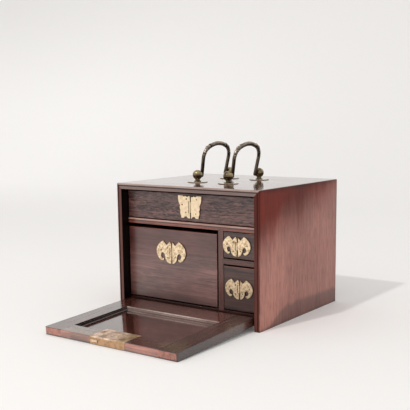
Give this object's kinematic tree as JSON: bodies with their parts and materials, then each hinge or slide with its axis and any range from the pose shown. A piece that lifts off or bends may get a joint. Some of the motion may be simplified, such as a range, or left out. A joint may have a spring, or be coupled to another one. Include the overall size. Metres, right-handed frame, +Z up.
{
  "type": "fall-front wooden box with drawers",
  "caption": "Small hardwood box whose front falls open on pins to show drawers with swinging bat and butterfly pulls, a lock in the front and bail handles on the top.",
  "frame": {"origin": "on the table, under the middle of the box together with its open front", "axes": "+X to the right seen from the front, +Y to the back, +Z up"},
  "size_m": [0.2, 0.309, 0.2003],
  "materials": {
    "case_wood": "semi-gloss lacquer",
    "panel_wood": "semi-gloss lacquer",
    "drawer_front_wood": "semi-gloss lacquer",
    "drawer_wood": "bare",
    "pull_brass": "worn polish",
    "lock_brass": "worn polish",
    "handle_bronze": "dark patina"
  },
  "bodies": {
    "case": {"case_top": "case_wood", "case_bottom": "case_wood", "case_left_side": "case_wood", "case_right_side": "case_wood", "case_back": "case_wood", "drawer_rail": "case_wood", "drawer_divider": "case_wood", "small_drawer_shelf": "case_wood", "door_pins": "handle_bronze", "handle_plates": "handle_bronze", "handle_posts": "handle_bronze"},
    "fall_front": {"door_left_stile": "case_wood", "door_right_stile": "case_wood", "door_top_rail": "case_wood", "door_bottom_rail": "case_wood", "door_panel": "panel_wood", "door_panel_beads": "case_wood", "lock_plate": "lock_brass", "lock_case": "lock_brass", "lock_key_pin": "lock_brass", "lock_nails": "lock_brass"},
    "bolt": {"lock_bolt": "lock_brass"},
    "left_bail": {"left_bail": "handle_bronze"},
    "right_bail": {"right_bail": "handle_bronze"},
    "top_drawer": {"top_drawer_front": "drawer_front_wood", "top_drawer_left_side": "drawer_wood", "top_drawer_right_side": "drawer_wood", "top_drawer_back": "drawer_wood", "top_drawer_bottom": "drawer_wood", "top_drawer_pull_plate": "pull_brass", "top_drawer_pull_pin": "pull_brass", "top_drawer_pull_nails": "pull_brass"},
    "top_drawer_wing": {"top_drawer_pull_wing": "pull_brass"},
    "left_drawer": {"left_drawer_front": "drawer_front_wood", "left_drawer_left_side": "drawer_wood", "left_drawer_right_side": "drawer_wood", "left_drawer_back": "drawer_wood", "left_drawer_bottom": "drawer_wood", "left_drawer_pull_plate": "pull_brass", "left_drawer_pull_pin": "pull_brass", "left_drawer_pull_nails": "pull_brass"},
    "left_drawer_wing": {"left_drawer_pull_wing": "pull_brass"},
    "upper_drawer": {"upper_drawer_front": "drawer_front_wood", "upper_drawer_left_side": "drawer_wood", "upper_drawer_right_side": "drawer_wood", "upper_drawer_back": "drawer_wood", "upper_drawer_bottom": "drawer_wood", "upper_drawer_pull_plate": "pull_brass", "upper_drawer_pull_pin": "pull_brass", "upper_drawer_pull_nails": "pull_brass"},
    "upper_drawer_wing": {"upper_drawer_pull_wing": "pull_brass"},
    "lower_drawer": {"lower_drawer_front": "drawer_front_wood", "lower_drawer_left_side": "drawer_wood", "lower_drawer_right_side": "drawer_wood", "lower_drawer_back": "drawer_wood", "lower_drawer_bottom": "drawer_wood", "lower_drawer_pull_plate": "pull_brass", "lower_drawer_pull_pin": "pull_brass", "lower_drawer_pull_nails": "pull_brass"},
    "lower_drawer_wing": {"lower_drawer_pull_wing": "pull_brass"}
  },
  "joints": [
    {"name": "fall_front_hinge", "type": "hinge", "parent": "case", "child": "fall_front", "pos_m": [0, -0.01893, 0.0098], "axis": [1, 0, 0], "range_deg": [-92.32, 0]},
    {"name": "bolt_slide", "type": "slide", "parent": "fall_front", "child": "bolt", "axis": [0, -0.9992, -0.0405], "range_m": [0, 0.004]},
    {"name": "left_bail_fold", "type": "hinge", "parent": "case", "child": "left_bail", "pos_m": [-0.022, 0.06547, 0.1616], "axis": [0, 1, 0], "range_deg": [-109, 87]},
    {"name": "right_bail_fold", "type": "hinge", "parent": "case", "child": "right_bail", "pos_m": [0.022, 0.06547, 0.1616], "axis": [0, 1, 0], "range_deg": [-109, 87]},
    {"name": "top_drawer_slide", "type": "slide", "parent": "case", "child": "top_drawer", "axis": [0, -1, 0], "range_m": [0, 0.11]},
    {"name": "top_drawer_wing_swing", "type": "hinge", "parent": "top_drawer", "child": "top_drawer_wing", "pos_m": [0, -0.01283, 0.12857], "axis": [0, 0, -1], "range_deg": [0, 168]},
    {"name": "left_drawer_slide", "type": "slide", "parent": "case", "child": "left_drawer", "axis": [0, -1, 0], "range_m": [0, 0.11]},
    {"name": "left_drawer_wing_swing", "type": "hinge", "parent": "left_drawer", "child": "left_drawer_wing", "pos_m": [-0.02825, -0.01283, 0.07433], "axis": [0, 0, -1], "range_deg": [0, 168]},
    {"name": "upper_drawer_slide", "type": "slide", "parent": "case", "child": "upper_drawer", "axis": [0, -1, 0], "range_m": [0, 0.11]},
    {"name": "upper_drawer_wing_swing", "type": "hinge", "parent": "upper_drawer", "child": "upper_drawer_wing", "pos_m": [0.0635, -0.01283, 0.08933], "axis": [0, 0, -1], "range_deg": [0, 168]},
    {"name": "lower_drawer_slide", "type": "slide", "parent": "case", "child": "lower_drawer", "axis": [0, -1, 0], "range_m": [0, 0.11]},
    {"name": "lower_drawer_wing_swing", "type": "hinge", "parent": "lower_drawer", "child": "lower_drawer_wing", "pos_m": [0.0662, -0.01283, 0.04172], "axis": [0, 0, -1], "range_deg": [0, 168]}
  ]
}
